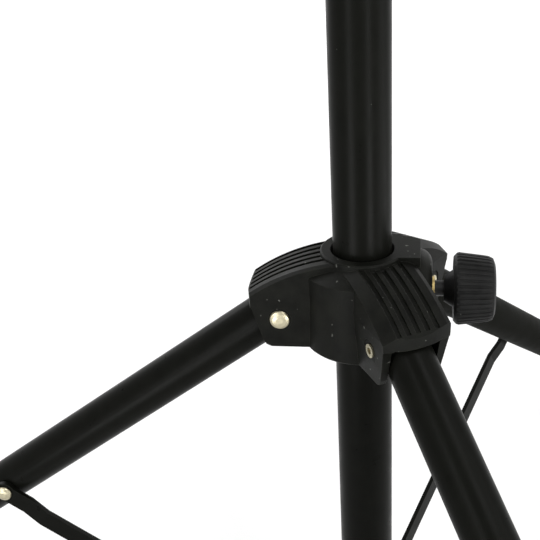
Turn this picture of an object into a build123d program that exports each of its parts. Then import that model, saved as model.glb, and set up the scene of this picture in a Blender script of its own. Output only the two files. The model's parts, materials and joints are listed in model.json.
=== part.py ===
from build123d import *
import os
from math import asin, cos, degrees, pi, radians, sin, sqrt, tan

os.makedirs("parts", exist_ok=True)

# Fits and clearances
body_gap = 0.3
pin_gap = 0.08
slide_gap = 0.08
thread_gap = 0.09
leg_side_gap = 0.45
bore_gap = 0.25

# Tubes
tube_d = 22.2
tube_wall = 1.2
leg_d = 18.5
leg_wall = 1.2
upper_d = 19.0
upper_wall = 1.2
tube_r = tube_d / 2
tube_in_r = tube_r - tube_wall
leg_r = leg_d / 2
upper_r = upper_d / 2
upper_in_r = upper_r - upper_wall

# Legs and feet
leg_azimuths = {"left": 90.0, "front": 210.0, "rear": 330.0}
leg_angle = 35.9
leg_len = 350.0
leg_back = 6.0
foot_r = 11.6
foot_cover = 20.0
foot_end = 12.0
foot_round = 3.0
foot_flat = 4.8

# Tripod linkage: equal arms on equal pivot circles, feet on the floor
pivot_r = 31.0
brace_share = 0.4557
link = leg_len * brace_share
rise = link * sin(radians(leg_angle))
hub_z = (leg_len + foot_end) * sin(radians(leg_angle)) + foot_flat
collar_z = hub_z - 2 * rise

# Pivot rivets
pin_r = 2.4
head_r = 3.9
head_h = 1.5
tail_r = 2.6
tail_h = 0.6
tail_hole_r = 1.3
tail_hole = 1.2
brace_head_r = 3.5
washer_head_h = 1.2

# Braces
brace_w = 8.4
brace_t = 2.0
brace_eye_r = 4.9
brace_joggle = 1.75
joggle_out = 21.0
joggle_in = 12.0
brace_end_t = leg_r + body_gap + brace_t / 2
brace_main_t = brace_end_t + brace_joggle

# Brace collar on the mast
collar_h = 24.0
lug_t = 3.0
lug_root = 14.0
lug_eye_r = 5.8
lug_in = brace_main_t + brace_t / 2 + body_gap
lug_out = lug_in + lug_t
collar_r = lug_out
grub_side = 90.0
grub_r = 1.6
grub_head_r = 3.4
grub_head_h = 2.0

# Mast ends
mast_low = 10.0
mast_top = 560.0
mast_foot_r = 13.0
mast_foot_round = 2.5
plug_depth = 20.0

# Hub barrel
barrel_r = 23.4
barrel_low = -13.3
barrel_edge = 0.8
barrel_ledge = 18.3
neck_r = 15.9
neck_flare = 0.8
neck_low = 22.2
hub_top = 24.6
rim_edge = 0.5
mouth_r = 12.1
mouth_depth = 1.2

# Hub arms: half widths, side outline and arched top
arm_low = -12.4
arm_low_w = 12.1
arm_mid_w = 13.5
arm_top_w = 13.0
parting_z = 8.6
arm_in = 8.0
arm_tip = 44.0
arm_foot = 34.8
arm_foot_round = 3.0
lip_r = 41.6
lip_z = 5.0
lip_top = 8.9
tip_bevel = 0.8
tip_bevel_h = 1.3
arm_root = (15.0, 22.9)
arm_crown = (43.8, 9.65)
arch_r = 75.0
bevel_side = 4.6
bevel_drop = 2.6
edge_side = 2.0
edge_drop = 0.9
groove_n = 5
groove_pitch = 3.75
groove_w = 1.9
groove_depth = 0.8
groove_stop = 43.0
channel_w = leg_r + leg_side_gap
channel_back = 19.2
channel_top = 12.8
channel_end_z = 4.4
spot_r = 4.5
spot_t = 12.7

# Hub tongue over the clamp screw
tongue_reach = 21.7
tongue_near = 8.0
tongue_far = 12.8
tongue_skew = 4.5
tongue_mid = 11.0
tongue_low = 10.0

# Clamp screws and knobs
screw_r = 3.0
screw_tip = 0.8
screw_z = 7.9
boss_r = 15.2
boss_reach = 26.2
boss_round = 5.5
insert_r = 4.2
insert_flange_r = 4.6
insert_flange_t = 0.9
insert_back = 0.6
knob_in = 34.2
knob_len = 15.2
knob_r_in = 14.0
knob_r_out = 12.2
knob_shoulder = 2.8
knob_shoulder_drop = 1.7
knob_round = 2.4
knob_neck = 3.6
knob_neck_r = 7.2
knob_neck_low_r = 5.0
knob_grip = 9.0
knob_flutes = 38
flute_depth = 0.6

# Height clutch at the top of the mast
clutch_r = 17.5
clutch_below = 32.0
clutch_above = 30.0
clutch_round = 2.5
clutch_skirt = 3.2
clutch_screw_up = 14.0
clutch_knob_side = 90.0
bush_r = 12.2
bush_above = 24.0
bush_slit = 0.8
clutch_low = mast_top - clutch_below
clutch_top = mast_top + clutch_above
clutch_screw_z = mast_top + clutch_screw_up
bush_low = mast_top + body_gap
bush_top = mast_top + bush_above

# Upper tube and tilt head
upper_overlap = 130.0
upper_len = 560.0
upper_low = mast_top - upper_overlap
upper_top = upper_low + upper_len
guide_len = 24.0
guide_plug = 16.0
guide_wall = 2.0
head_sleeve_r = 14.0
head_sleeve_h = 38.0
head_cap = 8.0
head_edge = 0.8
head_round = 3.0
pivot_up = 32.0
tilt_z = upper_top + pivot_up
tongue_t = 10.0
tongue_r = 13.0
cross_pin_r = 2.0
cross_pin_down = 18.0
cross_pin_proud = 0.5
cross_pin_z = upper_top - cross_pin_down

# Desk panel and ledge
desk_tilt = 20.0
desk_w = 490.0
desk_h = 345.0
desk_below = desk_h / 3
desk_mid = desk_h / 2 - desk_below
desk_front = 27.2
sheet = 1.2
flange = 8.0
desk_corner = 24.0
hole_d = 19.0
hole_pitch = 38.0
hole_row_pitch = 44.0
hole_side = 55.0
hole_bottom = 63.0
hole_top = 50.0
hole_cols = int((desk_w - 2 * hole_side) / hole_pitch) + 1
hole_rows = int((desk_h - hole_bottom - hole_top) / hole_row_pitch) + 1
ledge_depth = 52.0
ledge_lip = 13.0
ledge_back = 20.0
ledge_w = desk_w - 2 * desk_corner
ledge_rivets = 5
ledge_rivet_side = 31.0
ledge_rivet_up = 12.0
rivet_r = 2.4
rivet_head_r = 4.6
rivet_head_h = 1.2

# Tilt bracket on the back of the desk
bracket_w = 64.0
bracket_h = 74.0
bracket_corner = 8.0
bracket_rivet_in = 8.0
plate = 2.2
washer_t = 1.0
washer_r = 10.0
ear_r = 11.0
ear_root = 26.0
ear_in = tongue_t / 2 + body_gap + washer_t
bolt_head_r = 5.6
bolt_head_h = 4.0
tilt_grip = 12.0
tilt_knob_x = ear_in + plate + body_gap + knob_neck

# Places: each leg piece is drawn along X and then laid on its pivot
leg_place = Pos(pivot_r, 0, hub_z) * Rot(0, leg_angle, 0)
brace_place = Pos(pivot_r, 0, collar_z) * Rot(0, -leg_angle, 0)
hub_place = Pos(0, 0, hub_z)
desk_place = Pos(0, 0, tilt_z) * Rot(-desk_tilt, 0, 0)
far = 2 * leg_len


def save(name, shape):
    shape.label = name
    export_step(shape, "parts/" + name + ".step")


def z_cyl(radius, low, high):
    return Pos(0, 0, (low + high) / 2) * Cylinder(radius, high - low)


def x_cyl(radius, low, high):
    return Pos((low + high) / 2, 0, 0) * Rot(0, 90, 0) * Cylinder(radius, high - low)


def y_cyl(radius, low, high):
    return Pos(0, (low + high) / 2, 0) * Rot(90, 0, 0) * Cylinder(radius, high - low)


def block(x0, x1, y0, y1, z0, z1):
    middle = Pos((x0 + x1) / 2, (y0 + y1) / 2, (z0 + z1) / 2)
    return middle * Box(x1 - x0, y1 - y0, z1 - z0)


def turned(points):
    # Solid of revolution from radius and height pairs
    outline = make_face(Polyline(*[(r, 0, z) for r, z in points], close=True))
    return revolve(outline, Axis.Z, 360)


def side_plate(points, low, high):
    # Side outline in radius and height, thickened along the tangent
    outline = make_face(Polyline(*[(r, low, z) for r, z in points], close=True))
    return extrude(outline, amount=high - low, dir=(0, 1, 0))


def around(angle):
    return Rot(0, 0, angle)


def dome(cap_r, cap_h):
    # Low domed rivet head rising along Y from its seat
    outline = [(0, 0), (cap_r, 0), (cap_r, cap_h * 0.2), (cap_r * 0.92, cap_h * 0.55)]
    outline += [(cap_r * 0.68, cap_h * 0.86), (cap_r * 0.34, cap_h), (0, cap_h)]
    return Rot(-90, 0, 0) * turned(outline)


def rivet_pin(cap_r, low, high):
    # Rivet along Y: domed head above high, hollow clinched tail below low
    pin = y_cyl(pin_r, low, high) + Pos(0, high, 0) * dome(cap_r, head_h)
    pin = pin + y_cyl(tail_r, low - tail_h, low)
    return pin - y_cyl(tail_hole_r, low - tail_h, low - tail_h + tail_hole)


def make_leg():
    leg = x_cyl(leg_r, -leg_back, leg_len) - x_cyl(leg_r - leg_wall, -leg_back, leg_len)
    leg = leg - y_cyl(pin_r + pin_gap, -leg_d, leg_d)
    leg = leg - Pos(link, 0, 0) * y_cyl(pin_r, -leg_d, leg_d)
    return leg_place * leg


def make_foot():
    # Rubber boot, cut flat where it stands on the floor
    start = leg_len - foot_cover
    end = leg_len + foot_end
    boot = x_cyl(foot_r, start, end) - x_cyl(leg_r, start, leg_len)
    toe = boot.edges().filter_by(GeomType.CIRCLE).sort_by(Axis.X)[-1]
    boot = leg_place * fillet(toe, foot_round)
    return boot & block(0, far, -foot_r, foot_r, 0, hub_z)


def make_brace_rivet():
    top = brace_end_t + brace_t / 2 + body_gap
    return leg_place * Pos(link, 0, 0) * rivet_pin(brace_head_r, -leg_r, top)


def make_brace():
    # Flat bar, joggled inward where it meets the leg
    half = brace_t / 2
    ends = 2 * brace_eye_r
    path = [(-ends, brace_main_t), (link - joggle_out, brace_main_t)]
    path += [(link - joggle_in, brace_end_t), (link + ends, brace_end_t)]
    points = [(x, t - half, -brace_w) for x, t in path]
    points += [(x, t + half, -brace_w) for x, t in reversed(path)]
    bar = extrude(make_face(Polyline(*points, close=True)), amount=2 * brace_w, dir=(0, 0, 1))
    outline = block(0, link, 0, lug_out, -brace_w / 2, brace_w / 2)
    for x in (0, link):
        outline = outline + Pos(x, 0, 0) * y_cyl(brace_eye_r, 0, lug_out)
    bar = bar & outline
    for x in (0, link):
        bar = bar - Pos(x, 0, 0) * y_cyl(pin_r + pin_gap, 0, lug_out)
    return brace_place * bar


def make_collar():
    half = collar_h / 2
    collar = z_cyl(collar_r, -half, half)
    lug = [(0, -half), (lug_root, -half), (pivot_r, -lug_eye_r)]
    lug += [(pivot_r, lug_eye_r), (lug_root, half), (0, half)]
    for angle in leg_azimuths.values():
        arm = side_plate(lug, lug_in, lug_out)
        arm = arm + Pos(pivot_r, 0, 0) * y_cyl(lug_eye_r, lug_in, lug_out)
        arm = arm - Pos(pivot_r, 0, 0) * y_cyl(pin_r, lug_in, lug_out)
        collar = collar + around(angle) * arm
    collar = collar - z_cyl(tube_r, -half, half)
    collar = collar - around(grub_side) * x_cyl(grub_r, 0, collar_r)
    return Pos(0, 0, collar_z) * collar


def make_collar_rivets():
    inner = brace_main_t - brace_t / 2 - body_gap
    rivets = []
    for angle in leg_azimuths.values():
        pin = y_cyl(pin_r, inner, lug_out) + y_cyl(brace_head_r, inner - washer_head_h, inner)
        pin = pin + Pos(0, lug_out, 0) * dome(brace_head_r, head_h)
        rivets.append(around(angle) * Pos(pivot_r, 0, collar_z) * pin)
    return Compound(children=rivets)


def make_collar_screw():
    screw = x_cyl(grub_r, tube_in_r, collar_r) + x_cyl(grub_head_r, collar_r, collar_r + grub_head_h)
    return Pos(0, 0, collar_z) * around(grub_side) * screw


def make_main_tube():
    tube = z_cyl(tube_r, mast_low, mast_top) - z_cyl(tube_in_r, mast_low, mast_top)
    return tube - Pos(0, 0, collar_z) * around(grub_side) * x_cyl(grub_r, 0, tube_d)


def make_mast_foot():
    cap = z_cyl(mast_foot_r, 0, mast_low)
    cap = fillet(cap.edges().sort_by(Axis.Z)[-1], mast_foot_round)
    return cap + z_cyl(tube_in_r, mast_low, mast_low + plug_depth)


def arm_axis():
    # Axis of the gently arched top of an arm
    x0, z0 = arm_root
    x1, z1 = arm_crown
    chord = sqrt((x1 - x0) ** 2 + (z1 - z0) ** 2)
    drop = sqrt(arch_r ** 2 - chord ** 2 / 4)
    x = (x0 + x1) / 2 + (z1 - z0) / chord * drop
    z = (z0 + z1) / 2 - (x1 - x0) / chord * drop
    return Axis((x, 0, z), (0, 1, 0))


def arched(points, sweep):
    # Section in tangent and radius, turned forward about the arch axis
    axis = arm_axis()
    start = axis.position
    outline = make_face(Polyline(*[(start.X, t, start.Z + r) for t, r in points], close=True))
    return revolve(outline, axis, sweep)


def arm_side():
    # Side outline of an arm: cheek, rounded lower corner, lip and bevelled tip
    tip = arm_tip - tip_bevel
    foot = [(arm_foot, arm_low), (arm_foot + arm_foot_round * 2 / 3, arm_low + arm_foot_round / 3)]
    foot += [(arm_foot + arm_foot_round, arm_low + arm_foot_round)]
    lip = [(lip_r, lip_z), (arm_tip, lip_z - 0.4), (arm_tip, lip_top), (tip, lip_top + tip_bevel_h)]
    top = [(tip, hub_top), (arm_in, hub_top), (arm_in, arm_low)]
    return side_plate(foot + lip + top, -barrel_r, barrel_r)


def arm_section():
    # Drafted cross section of an arm, widest at the parting line
    half = [(arm_low_w, arm_low), (arm_mid_w, parting_z), (arm_top_w, hub_top)]
    section = half + [(-t, z) for t, z in reversed(half)]
    face = make_face(Polyline(*[(0, t, z) for t, z in section], close=True))
    return extrude(face, amount=arm_tip, dir=(1, 0, 0))


def arm_lid():
    # Arched cover of an arm: broad bevel on one side, small one on the other
    deep = arch_r - 2 * barrel_r
    broad = [(-arm_mid_w - bevel_side, arch_r - 2 * bevel_drop), (bevel_side - arm_mid_w, arch_r)]
    small = [(arm_mid_w - edge_side, arch_r), (arm_mid_w + edge_side, arch_r - 2 * edge_drop)]
    ends = [(arm_mid_w + edge_side, deep), (-arm_mid_w - bevel_side, deep)]
    return arched(broad + small + ends, 90)


def make_arm():
    arm = arm_side() & arm_section()
    arm = arm & arm_lid() & z_cyl(arm_tip, barrel_low, hub_top)
    return arm - make_grooves()


def make_grooves():
    # Shallow grooves along the arch, closed just before the tip
    cuts = []
    low = arch_r - groove_depth
    high = arch_r + groove_depth
    stop = degrees(asin((groove_stop - arm_axis().position.X) / arch_r))
    for i in range(groove_n):
        t = (i - (groove_n - 1) / 2) * groove_pitch
        near = t - groove_w / 2
        far_side = t + groove_w / 2
        cuts.append(arched([(near, low), (far_side, low), (far_side, high), (near, high)], stop))
    return cuts


def make_channel():
    # Room for the leg, open below and along the leg's slope
    slope = tan(radians(leg_angle))
    bend = arm_tip - (channel_top - channel_end_z) / slope
    out = arm_tip + leg_r
    floor = 2 * barrel_low
    points = [(channel_back, floor), (channel_back, channel_top), (bend, channel_top)]
    points += [(out, channel_end_z - leg_r * slope), (out, floor)]
    return side_plate(points, -channel_w, channel_w)


def make_boss():
    # Round-nosed boss along X
    boss = x_cyl(boss_r, 0, boss_reach)
    nose = boss.edges().filter_by(GeomType.CIRCLE).sort_by(Axis.X)[-1]
    return fillet(nose, boss_round)


def make_barrel():
    outline = [(0, barrel_low), (barrel_r - barrel_edge, barrel_low), (barrel_r, barrel_low + barrel_edge)]
    outline += [(barrel_r, barrel_ledge), (neck_r + neck_flare, neck_low - 1), (neck_r, neck_low)]
    outline += [(neck_r, hub_top - rim_edge), (neck_r - rim_edge, hub_top), (0, hub_top)]
    return turned(outline)


def make_tongue():
    plan = [(-tongue_near, 0), (-tongue_near, -tongue_reach), (tongue_far - tongue_skew, -tongue_reach)]
    plan += [(tongue_far, -tongue_mid), (tongue_far, 0)]
    face = make_face(Polyline(*[(x, y, tongue_low) for x, y in plan], close=True))
    return extrude(face, amount=hub_top - tongue_low, dir=(0, 0, 1))


def make_hub():
    bore = tube_r + bore_gap
    screw_side = around(-90) * Pos(0, 0, screw_z)
    hub = make_barrel()
    arm = make_arm()
    for angle in leg_azimuths.values():
        hub = hub + around(angle) * arm
    hub = hub + make_tongue() + screw_side * make_boss()
    pivot = Pos(pivot_r, 0, 0)
    cuts = [make_channel(), pivot * y_cyl(pin_r, -barrel_r, barrel_r)]
    cuts.append(pivot * y_cyl(spot_r, spot_t, barrel_r))
    cuts.append(pivot * y_cyl(spot_r, -barrel_r, -spot_t))
    for angle in leg_azimuths.values():
        for cut in cuts:
            hub = hub - around(angle) * cut
    hub = hub - z_cyl(bore, barrel_low, hub_top)
    low = hub_top - mouth_depth
    hub = hub - turned([(0, low), (bore, low), (mouth_r, hub_top), (0, hub_top)])
    return hub_place * (hub - screw_side * x_cyl(insert_r, 0, boss_reach))


def make_hub_rivets():
    rivets = []
    for angle in leg_azimuths.values():
        rivet = rivet_pin(head_r, -spot_t, spot_t)
        rivets.append(hub_place * around(angle) * Pos(pivot_r, 0, 0) * rivet)
    return Compound(children=rivets)


def make_insert(start):
    # Threaded bush pressed into a boss, along X
    end = boss_reach + insert_flange_t
    bush = x_cyl(insert_r, start, boss_reach) + x_cyl(insert_flange_r, boss_reach, end)
    return bush - x_cyl(screw_r + thread_gap, start, end)


def make_screw(start, end):
    tip = [(0, start), (screw_r - screw_tip, start), (screw_r, start + screw_tip)]
    return Rot(0, 90, 0) * turned(tip + [(screw_r, end), (0, end)])


def fluted_face(radius, x):
    step = 2 * pi / knob_flutes
    points = []
    for i in range(knob_flutes):
        for part, depth in ((0.0, 0), (0.42, 0), (0.58, flute_depth), (0.84, flute_depth)):
            angle = (i + part) * step
            size = radius - depth
            points.append((x, size * cos(angle), size * sin(angle)))
    return make_face(Polyline(*points, close=True))


def make_knob(start, hole_r, hole_depth):
    # Fluted knob along X, wide end and conical neck toward the clamp
    end = start + knob_len
    grip = loft([fluted_face(knob_r_in, start), fluted_face(knob_r_out, end)], ruled=True)
    neck = [(0, start - knob_neck), (knob_neck_low_r, start - knob_neck), (knob_neck_r, start)]
    shoulder = [(knob_r_in - knob_shoulder_drop, start), (knob_r_in - 0.5, start + knob_shoulder * 0.4)]
    shoulder += [(knob_r_in, start + knob_shoulder)]
    nose = [(knob_r_out + 0.2, end - knob_round), (knob_r_out - knob_round * 0.25, end - knob_round * 0.3)]
    nose += [(knob_r_out - knob_round, end), (0, end)]
    form = Rot(0, 90, 0) * turned([(0, start)] + shoulder + nose)
    knob = (grip & form) + Rot(0, 90, 0) * turned(neck + [(0, start)])
    return knob - x_cyl(hole_r, start - knob_neck, start + hole_depth)


def make_clutch():
    body = [(0, clutch_low), (clutch_r - clutch_skirt, clutch_low), (clutch_r - 2.0, clutch_low + 1.2)]
    body += [(clutch_r, mast_top - 8), (clutch_r, clutch_top - clutch_round)]
    body += [(clutch_r - clutch_round, clutch_top), (0, clutch_top)]
    side = Pos(0, 0, clutch_screw_z) * around(clutch_knob_side)
    clutch = turned(body) + side * make_boss()
    clutch = clutch - z_cyl(tube_r, clutch_low, mast_top)
    clutch = clutch - z_cyl(bush_r + slide_gap, mast_top, bush_top + body_gap)
    clutch = clutch - z_cyl(upper_r + body_gap, mast_top, clutch_top)
    return clutch - side * x_cyl(insert_r, 0, boss_reach)


def make_bush():
    bush = z_cyl(bush_r, bush_low, bush_top) - z_cyl(upper_r + slide_gap, bush_low, bush_top)
    return bush - block(-bush_slit, bush_slit, -2 * bush_r, 0, bush_low, bush_top)


def make_upper_tube():
    tube = z_cyl(upper_r, upper_low, upper_top) - z_cyl(upper_in_r, upper_low, upper_top)
    return tube - Pos(0, 0, cross_pin_z) * y_cyl(cross_pin_r, -upper_d, upper_d)


def make_guide():
    guide = z_cyl(tube_in_r - slide_gap, upper_low - guide_len, upper_low)
    guide = guide + z_cyl(upper_in_r, upper_low, upper_low + guide_plug)
    return guide - z_cyl(upper_in_r - guide_wall, upper_low - guide_len, upper_low + guide_plug)


def make_tilt_head():
    low = upper_top - head_sleeve_h
    top = upper_top + head_cap
    sleeve = [(0, low), (head_sleeve_r - head_edge, low), (head_sleeve_r, low + head_edge)]
    sleeve += [(head_sleeve_r, top - head_round), (head_sleeve_r - head_round, top), (0, top)]
    half = tongue_t / 2
    head = turned(sleeve) + block(-half, half, -tongue_r, tongue_r, top - head_round, tilt_z)
    head = head + Pos(0, 0, tilt_z) * x_cyl(tongue_r, -half, half)
    head = head - z_cyl(upper_r, low, upper_top)
    head = head - Pos(0, 0, tilt_z) * x_cyl(screw_r + pin_gap, -half, half)
    return head - Pos(0, 0, cross_pin_z) * y_cyl(cross_pin_r, -head_sleeve_r, head_sleeve_r)


def make_head_pin():
    end = head_sleeve_r + cross_pin_proud
    return Pos(0, 0, cross_pin_z) * y_cyl(cross_pin_r, -end, end)


def bracket_rivet_places():
    x = bracket_w / 2 - bracket_rivet_in
    z = bracket_h / 2 - bracket_rivet_in
    return [(-x, -z), (-x, z), (x, -z), (x, z)]


def ledge_rivet_places():
    out = ledge_w / 2 - ledge_rivet_side
    step = 2 * out / (ledge_rivets - 1)
    return [(i * step - out, ledge_rivet_up - desk_below) for i in range(ledge_rivets)]


def hole_places():
    # Staggered rows, left plain behind the bracket
    places = []
    for row in range(hole_rows):
        z = hole_bottom - desk_below + row * hole_row_pitch
        count = hole_cols - row % 2
        for col in range(count):
            x = (col - (count - 1) / 2) * hole_pitch
            if abs(x) > (bracket_w + hole_d) / 2 or abs(z) > (bracket_h + hole_d) / 2:
                places.append((x, z))
    return places


def desk_plane(y):
    return Plane(origin=(0, y, 0), x_dir=(1, 0, 0), z_dir=(0, -1, 0))


def make_desk_panel():
    # Perforated sheet with a flange folded back all round
    rim = Pos(0, desk_mid) * RectangleRounded(desk_w, desk_h, desk_corner)
    inside = RectangleRounded(desk_w - 2 * sheet, desk_h - 2 * sheet, desk_corner - sheet)
    inner = Pos(0, desk_mid) * inside
    face = rim - [Pos(x, z) * Circle(hole_d / 2) for x, z in hole_places()]
    rivets = bracket_rivet_places() + ledge_rivet_places()
    face = face - [Pos(x, z) * Circle(rivet_r) for x, z in rivets]
    panel = extrude(desk_plane(sheet - desk_front) * face, amount=sheet)
    panel = panel + extrude(desk_plane(flange - desk_front) * (rim - inner), amount=flange)
    return desk_place * panel


def make_ledge():
    # Bent sheet: back flange, shelf and front lip
    front = -desk_front
    edge = front - ledge_depth
    low = -desk_below
    points = [(front, low + ledge_back), (front, low), (edge, low), (edge, low + ledge_lip)]
    points += [(edge + sheet, low + ledge_lip), (edge + sheet, low + sheet)]
    points += [(front - sheet, low + sheet), (front - sheet, low + ledge_back)]
    half = ledge_w / 2
    outline = make_face(Polyline(*[(-half, y, z) for y, z in points], close=True))
    ledge = extrude(outline, amount=ledge_w, dir=(1, 0, 0))
    for x, z in ledge_rivet_places():
        ledge = ledge - Pos(x, 0, z) * y_cyl(rivet_r, front - sheet, front)
    return desk_place * ledge


def desk_rivets(places, front, back):
    rivets = []
    for x, z in places:
        rivet = y_cyl(rivet_r, front, back) + Pos(0, back, 0) * dome(rivet_head_r, rivet_head_h)
        rivets.append(desk_place * Pos(x, 0, z) * rivet)
    return Compound(children=rivets)


def make_bracket():
    back = sheet - desk_front
    half_w = bracket_w / 2
    half_h = bracket_h / 2
    base = block(-half_w, half_w, back, back + plate, -half_h, half_h)
    base = fillet(base.edges().filter_by(Axis.Y), bracket_corner)
    for x, z in bracket_rivet_places():
        base = base - Pos(x, 0, z) * y_cyl(rivet_r, back, back + plate)
    side = [(back + plate / 2, -ear_root), (0, -ear_r), (0, ear_r), (back + plate / 2, ear_root)]
    ear_face = make_face(Polyline(*[(0, y, z) for y, z in side], close=True))
    for low in (ear_in, -ear_in - plate):
        ear = Pos(low, 0, 0) * extrude(ear_face, amount=plate, dir=(1, 0, 0))
        base = base + ear + x_cyl(ear_r, low, low + plate)
    return desk_place * (base - x_cyl(screw_r, -half_w, half_w))


def make_washers():
    washers = []
    for low in (ear_in - washer_t, -ear_in):
        washer = x_cyl(washer_r, low, low + washer_t) - x_cyl(screw_r, low, low + washer_t)
        washers.append(desk_place * washer)
    return Compound(children=washers)


def make_tilt_bolt():
    out = ear_in + plate
    head = Rot(0, 90, 0) * extrude(RegularPolygon(bolt_head_r, 6), amount=bolt_head_h)
    bolt = x_cyl(screw_r, -out, tilt_knob_x + knob_grip)
    return desk_place * (bolt + Pos(-out - bolt_head_h, 0, 0) * head)


# Mast, collar and tripod
save("main_tube", make_main_tube())
save("mast_foot", make_mast_foot())
save("brace_collar", make_collar())
save("collar_rivets", make_collar_rivets())
save("collar_screw", make_collar_screw())
for name, angle in leg_azimuths.items():
    turn = around(angle)
    save("leg_" + name, turn * make_leg())
    save("foot_" + name, turn * make_foot())
    save("brace_" + name, turn * make_brace())
    save("brace_rivet_" + name, turn * make_brace_rivet())

# Hub and its clamp
hub_side = hub_place * around(-90) * Pos(0, 0, screw_z)
save("tripod_hub", make_hub())
save("hub_rivets", make_hub_rivets())
save("hub_insert", hub_side * make_insert(tube_r + bore_gap + insert_back))
save("hub_screw", hub_side * make_screw(tube_r + bore_gap, knob_in + knob_grip))
save("hub_knob", hub_side * make_knob(knob_in, screw_r, knob_grip))

# Height clutch and upper tube
clutch_side = Pos(0, 0, clutch_screw_z) * around(clutch_knob_side)
save("height_clutch", make_clutch())
save("clutch_insert", clutch_side * make_insert(bush_r + insert_back))
save("clutch_screw", clutch_side * make_screw(bush_r + body_gap, knob_in + knob_grip))
save("clutch_knob", clutch_side * make_knob(knob_in, screw_r, knob_grip))
save("clutch_bush", make_bush())
save("upper_tube", make_upper_tube())
save("slide_guide", make_guide())
save("tilt_head", make_tilt_head())
save("head_pin", make_head_pin())

# Desk and its tilt bracket
save("desk_panel", make_desk_panel())
save("desk_ledge", make_ledge())
save("ledge_rivets", desk_rivets(ledge_rivet_places(), -desk_front - sheet, sheet - desk_front))
save("tilt_bracket", make_bracket())
save("bracket_rivets", desk_rivets(bracket_rivet_places(), -desk_front, sheet + plate - desk_front))
save("friction_washers", make_washers())
save("tilt_bolt", make_tilt_bolt())
save("tilt_knob", desk_place * make_knob(tilt_knob_x, screw_r + thread_gap, tilt_grip))
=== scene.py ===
import json
import math
import bpy
from mathutils import Matrix, Vector

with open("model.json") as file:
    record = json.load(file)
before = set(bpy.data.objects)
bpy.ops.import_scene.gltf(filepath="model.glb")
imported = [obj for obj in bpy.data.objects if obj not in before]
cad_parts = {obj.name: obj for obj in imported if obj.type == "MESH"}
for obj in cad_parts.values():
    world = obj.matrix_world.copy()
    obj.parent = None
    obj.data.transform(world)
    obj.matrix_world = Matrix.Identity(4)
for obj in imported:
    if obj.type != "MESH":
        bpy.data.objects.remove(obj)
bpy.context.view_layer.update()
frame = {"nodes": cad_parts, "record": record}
nodes = frame["nodes"]

# Camera fitted to the outlines in the photo, in metres and pixels
HUB = Vector((0.0, 0.0, 0.21707))
EYE = HUB + Vector((-0.3299, -0.0208, 0.1870))
FORWARD = Vector((0.8762, 0.1501, -0.4580)).normalized()
RIGHT = Vector((0.1688, -0.9857, 0.0)).normalized()
ROLL = math.radians(-3.66)
LENS_PX = 974.0
IMAGE_PX = 540.0
SENSOR_MM = 36.0
CLIP_START = 0.01
UP = Vector((0.0, 0.0, 1.0))
TOWARD = Vector((-FORWARD.x, -FORWARD.y, 0.0)).normalized()

# Grain of the surfaces: noise scales per metre, the middle of a noise, and the radius of the pale
# edges, which are partly wear and partly painted highlight
CLOUD_SCALE, SPECK_SCALE = 150.0, 640.0
STREAK_SCALE, BLOTCH_SCALE, FLOOR_SCALE = 900.0, 260.0, 30.0
NOISE_LOW, NOISE_HIGH = 0.3, 0.7
EDGE_RADIUS = 0.0004
SPECK_COVER, SPECK_FADE = 0.7, 0.04
STREAK_DEPTH = 0.00003

# Room: its light on matt surfaces, and the white that it shows
WORLD_LEVEL = 0.10
WHITE_LEVEL = 1.0
WHITE = (1.0, 1.0, 1.0, 1.0)

# Floor, in metres: its own white near the stand and far from it, and where that changes
FLOOR_SIZE, FLOOR_DROP = 12.0, 0.0006
FLOOR_DARK, FLOOR_LIGHT, FLOOR_ROUGH = 0.40, 0.42, 0.9
GLOW_NEAR, GLOW_FAR = 0.62, 1.0
GLOW_START, GLOW_END = 0.5, 2.0

# Square lamps: azimuth and elevation in degrees, distance and side in metres, power in watts
LAMPS = {
    "back_left": (-150.0, 28.0, 3.0, 1.7, 38.0),
    "top_left": (-125.0, 50.0, 3.0, 1.7, 22.0),
    "back_right": (140.0, 28.0, 3.0, 1.7, 25.0),
    "top_right": (50.0, 60.0, 2.5, 0.9, 14.0),
}

# Panels: azimuth in degrees, width in metres and radiance
PANELS = {
    "panel_left": (-42.0, 0.23, 7.6),
    "panel_right": (26.0, 0.18, 9.4),
    "panel_side": (78.0, 0.5, 2.3),
}

# All panels, in metres: where the lying part starts and ends, and the upright part at its end
PANEL_NEAR, PANEL_FAR, PANEL_LIFT = 0.40, 1.25, 0.004
PANEL_FOOT, PANEL_HEIGHT = 0.05, 1.75


def add(tree, kind, **values):
    node = tree.nodes.new(kind)
    for key, value in values.items():
        setattr(node, key, value)
    return node


def wire(tree, source, target):
    tree.links.new(source, target)


def math_node(tree, operation, first, second):
    node = add(tree, "ShaderNodeMath", operation=operation)
    wire(tree, first, node.inputs[0])
    wire(tree, second, node.inputs[1])
    return node.outputs[0]


def span(tree, source, low, high, start=NOISE_LOW, end=NOISE_HIGH):
    # Value from low to high as the source goes from start to end
    node = add(tree, "ShaderNodeMapRange")
    node.inputs["From Min"].default_value = start
    node.inputs["From Max"].default_value = end
    node.inputs["To Min"].default_value = low
    node.inputs["To Max"].default_value = high
    wire(tree, source, node.inputs["Value"])
    return node.outputs["Result"]


def material(name):
    mat = bpy.data.materials.new(name)
    mat.use_nodes = True
    return mat, mat.node_tree, mat.node_tree.nodes["Principled BSDF"]


def noise(tree, scale, detail=3.0):
    coords = add(tree, "ShaderNodeTexCoord")
    node = add(tree, "ShaderNodeTexNoise")
    node.inputs["Scale"].default_value = scale
    node.inputs["Detail"].default_value = detail
    wire(tree, coords.outputs["Object"], node.inputs["Vector"])
    return node.outputs["Fac"]


def blend(tree, factor, first, second):
    node = add(tree, "ShaderNodeMix", data_type="RGBA")
    wire(tree, factor, node.inputs["Factor"])
    for socket, value in ((node.inputs[6], first), (node.inputs[7], second)):
        if isinstance(value, tuple):
            socket.default_value = value
        else:
            wire(tree, value, socket)
    return node.outputs[2]


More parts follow.
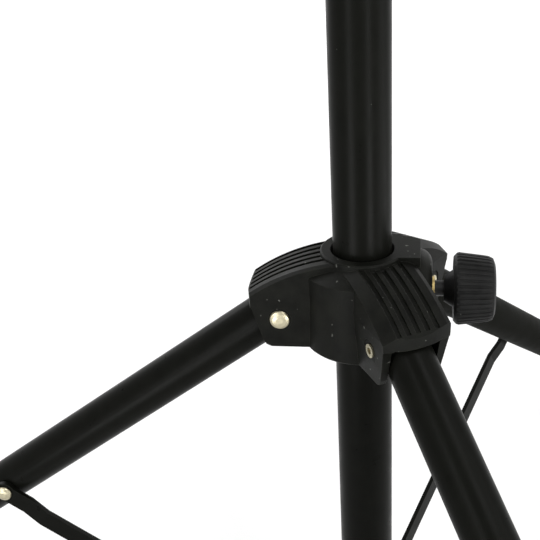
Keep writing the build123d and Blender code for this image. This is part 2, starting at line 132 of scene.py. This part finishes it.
def grey(value, warmth=1.0):
    # Grey that leans to olive as the warmth falls below one
    return (value * (0.8 + 0.2 * warmth), value, value * warmth, 1.0)


def bump(tree, height, strength, distance, under=None):
    node = add(tree, "ShaderNodeBump")
    node.inputs["Strength"].default_value = strength
    node.inputs["Distance"].default_value = distance
    wire(tree, height, node.inputs["Height"])
    if under:
        wire(tree, under, node.inputs["Normal"])
    return node.outputs["Normal"]


def rounded(tree, radius):
    # Normal that runs softly over the edges
    node = add(tree, "ShaderNodeBevel", samples=6)
    node.inputs["Radius"].default_value = radius
    return node.outputs["Normal"]


def edges(tree, radius):
    # Mask of pale edges, partly wear and partly painted highlight: where the rounded normal leaves the
    # true one
    geometry = add(tree, "ShaderNodeNewGeometry")
    dot = add(tree, "ShaderNodeVectorMath", operation="DOT_PRODUCT")
    wire(tree, rounded(tree, radius), dot.inputs[0])
    wire(tree, geometry.outputs["Normal"], dot.inputs[1])
    return span(tree, dot.outputs["Value"], 1.0, 0.0, 0.80, 0.99)


def coated(name, tone, warmth, rough, specular, mottle, grain, depth, dust, wear_and_highlight_tone=0.03, soft=0.0003):
    # Black surface: mottled tone, fine grain, pale dust, and pale edges that are partly wear and partly
    # painted highlight
    mat, tree, shader = material(name)
    cloud = noise(tree, CLOUD_SCALE, 6.0)
    fine = noise(tree, grain, 2.0)
    speck = span(tree, noise(tree, SPECK_SCALE, 0.0), 0.0, SPECK_COVER, dust, dust + SPECK_FADE)
    dark = grey(tone * (1.0 - mottle), warmth)
    light = grey(tone * (1.0 + mottle), warmth)
    base = blend(tree, span(tree, cloud, 0.0, 1.0), dark, light)
    base = blend(tree, speck, base, grey(0.14, 0.9))
    patchy = span(tree, cloud, 0.3, 1.0, 0.35, 0.6)
    # Edges lightened patchily towards the edge tone: partly wear, partly a painted highlight along
    # ridges and rims
    edge = math_node(tree, "MULTIPLY", edges(tree, EDGE_RADIUS), patchy)
    base = blend(tree, edge, base, grey(wear_and_highlight_tone, warmth))
    wire(tree, base, shader.inputs["Base Color"])
    wire(tree, span(tree, cloud, rough - 0.05, rough + 0.06), shader.inputs["Roughness"])
    wire(tree, bump(tree, fine, 0.5, depth, rounded(tree, soft)), shader.inputs["Normal"])
    shader.inputs["Specular IOR Level"].default_value = specular
    return mat


def plated(name, tone, rough):
    # Bright metal with blotches and faint streaks
    mat, tree, shader = material(name)
    streak = noise(tree, STREAK_SCALE)
    blotch = span(tree, noise(tree, BLOTCH_SCALE), 0.0, 1.0)
    darker_copy = tuple(c * 0.8 for c in tone)
    wire(tree, blend(tree, blotch, darker_copy + (1.0,), tone + (1.0,)), shader.inputs["Base Color"])
    wire(tree, span(tree, streak, rough - 0.06, rough + 0.1), shader.inputs["Roughness"])
    wire(tree, bump(tree, streak, 0.25, STREAK_DEPTH), shader.inputs["Normal"])
    shader.inputs["Metallic"].default_value = 1.0
    return mat


def slot_materials():
    # One material for each material slot of the record
    return {
        "black_steel": coated("black_powder_coat", tone=0.0045, warmth=0.78, rough=0.32, specular=0.037,
                              mottle=0.10, grain=2600.0, depth=0.00002, dust=0.92, wear_and_highlight_tone=0.025),
        "black_plastic": coated("moulded_black", tone=0.0056, warmth=0.80, rough=0.46, specular=0.054,
                                mottle=0.40, grain=1700.0, depth=0.00006, dust=0.83, wear_and_highlight_tone=0.025),
        "knob_plastic": coated("knob_black", tone=0.014, warmth=0.98, rough=0.46, specular=0.05,
                               mottle=0.25, grain=1900.0, depth=0.00004, dust=0.85),
        "rubber": coated("rubber_black", tone=0.014, warmth=0.90, rough=0.70, specular=0.06,
                         mottle=0.30, grain=1500.0, depth=0.00008, dust=0.85, soft=0.0006),
        "nylon": coated("nylon_black", tone=0.018, warmth=0.90, rough=0.50, specular=0.08,
                        mottle=0.15, grain=1500.0, depth=0.00003, dust=0.88),
        "brass": plated("turned_brass", (0.62, 0.47, 0.20), rough=0.34),
        "nickel": plated("rivet_plate", (0.45, 0.41, 0.29), rough=0.34),
        "dark_steel": plated("black_zinc", (0.03, 0.03, 0.03), rough=0.42),
    }


def node_materials():
    # Steel pieces with a coat of their own: the desk's sheet, and the rear leg, which gets a shaded
    # copy of the legs' coat with its gloss nearly taken out, as painted shade
    sheet = coated("black_sheet_coat", tone=0.016, warmth=0.90, rough=0.40, specular=0.07,
                   mottle=0.15, grain=2100.0, depth=0.00006, dust=0.90)
    # Painted shade: the rear leg's copy of the black coat, nearly without gloss so it renders darker
    # than the other legs
    darker_copy = coated("black_coat_painted_shade", tone=0.006, warmth=0.78, rough=0.45, specular=0.005,
                  mottle=0.10, grain=2600.0, depth=0.00002, dust=0.92, wear_and_highlight_tone=0.025)
    return {"desk_panel": sheet, "desk_ledge": sheet, "leg_rear": darker_copy}


def dress():
    by_slot = slot_materials()
    by_node = node_materials()
    for part in frame["record"]["subparts"]:
        name = part["node"]
        surfaces = nodes[name].data.materials
        surfaces.clear()
        surfaces.append(by_node.get(name, by_slot[part["material_slot"]]))


def turned_from_camera(azimuth, elevation):
    # Direction from the hub: azimuth to the right of the camera, elevation above the floor
    a, e = math.radians(azimuth), math.radians(elevation)
    return math.cos(e) * (math.cos(a) * TOWARD + math.sin(a) * RIGHT) + math.sin(e) * UP


def seen_white(tree):
    # One where the surroundings show themselves: to the camera, in gloss and through glass
    path = add(tree, "ShaderNodeLightPath")
    first = math_node(tree, "MAXIMUM", path.outputs["Is Camera Ray"], path.outputs["Is Glossy Ray"])
    return math_node(tree, "MAXIMUM", first, path.outputs["Is Transmission Ray"])


def bright_world():
    world = bpy.data.worlds.new("studio")
    bpy.context.scene.world = world
    world.use_nodes = True
    tree = world.node_tree
    back = tree.nodes["Background"]
    level = span(tree, seen_white(tree), WORLD_LEVEL, WHITE_LEVEL, 0.0, 1.0)
    wire(tree, level, back.inputs["Strength"])
    back.inputs["Color"].default_value = WHITE


def floor_glow(tree):
    # The floor's own white makes up for the lamps' light, which falls off away from the stand
    coords = add(tree, "ShaderNodeTexCoord")
    reach = add(tree, "ShaderNodeVectorMath", operation="LENGTH")
    wire(tree, coords.outputs["Object"], reach.inputs[0])
    return span(tree, reach.outputs["Value"], GLOW_NEAR, GLOW_FAR, GLOW_START, GLOW_END)


def pale_floor():
    bpy.ops.mesh.primitive_plane_add(size=FLOOR_SIZE, location=(0, 0, -FLOOR_DROP))
    floor = bpy.context.object
    floor.name = "floor"
    mat, tree, shader = material("pale_floor")
    cloud = span(tree, noise(tree, FLOOR_SCALE), 0.0, 1.0)
    wire(tree, blend(tree, cloud, grey(FLOOR_DARK), grey(FLOOR_LIGHT)), shader.inputs["Base Color"])
    shader.inputs["Roughness"].default_value = FLOOR_ROUGH
    glow = math_node(tree, "MULTIPLY", seen_white(tree), floor_glow(tree))
    wire(tree, glow, shader.inputs["Emission Strength"])
    shader.inputs["Emission Color"].default_value = WHITE
    floor.data.materials.append(mat)


def area_light(name, place, size, power):
    # Lamp that looks at the hub
    data = bpy.data.lights.new(name, "AREA")
    data.shape = "RECTANGLE"
    data.size, data.size_y = size
    data.energy = power
    lamp = bpy.data.objects.new(name, data)
    bpy.context.scene.collection.objects.link(lamp)
    lamp.location = place
    lamp.rotation_euler = (HUB - place).to_track_quat("-Z", "Y").to_euler()
    return lamp


def panel(name, azimuth, width, radiance):
    # Soft panel along the floor and upright at its end, for a soft line down the tubes
    out = turned_from_camera(azimuth, 0.0)
    length = PANEL_FAR - PANEL_NEAR
    middle = out * (PANEL_NEAR + PANEL_FAR) / 2 + UP * PANEL_LIFT
    low = area_light(name + "_low", middle, (length, width), radiance * math.pi * length * width)
    low.rotation_euler = Matrix((-out, UP.cross(out), -UP)).transposed().to_euler()
    stand = out * PANEL_FAR + UP * (PANEL_FOOT + PANEL_HEIGHT / 2)
    tall = area_light(name, stand, (width, PANEL_HEIGHT), radiance * math.pi * PANEL_HEIGHT * width)
    tall.rotation_euler = Matrix((UP.cross(out), UP, out)).transposed().to_euler()
    low.visible_camera = tall.visible_camera = False


def light_up():
    for name, (azimuth, elevation, distance, side, power) in LAMPS.items():
        place = HUB + distance * turned_from_camera(azimuth, elevation)
        area_light(name, place, (side, side), power)
    for name, (azimuth, width, radiance) in PANELS.items():
        panel(name, azimuth, width, radiance)


def make_camera():
    up = RIGHT.cross(FORWARD)
    x = math.cos(ROLL) * RIGHT + math.sin(ROLL) * up
    y = -math.sin(ROLL) * RIGHT + math.cos(ROLL) * up
    data = bpy.data.cameras.new("camera")
    data.sensor_width = SENSOR_MM
    data.lens = SENSOR_MM * LENS_PX / IMAGE_PX
    data.clip_start = CLIP_START
    cam = bpy.data.objects.new("camera", data)
    bpy.context.scene.collection.objects.link(cam)
    turn = Matrix((x, y, -FORWARD)).transposed()
    cam.matrix_world = Matrix.Translation(EYE) @ turn.to_4x4()
    bpy.context.scene.camera = cam


dress()
make_camera()
bright_world()
pale_floor()
light_up()

bpy.context.scene.view_settings.view_transform = "Standard"
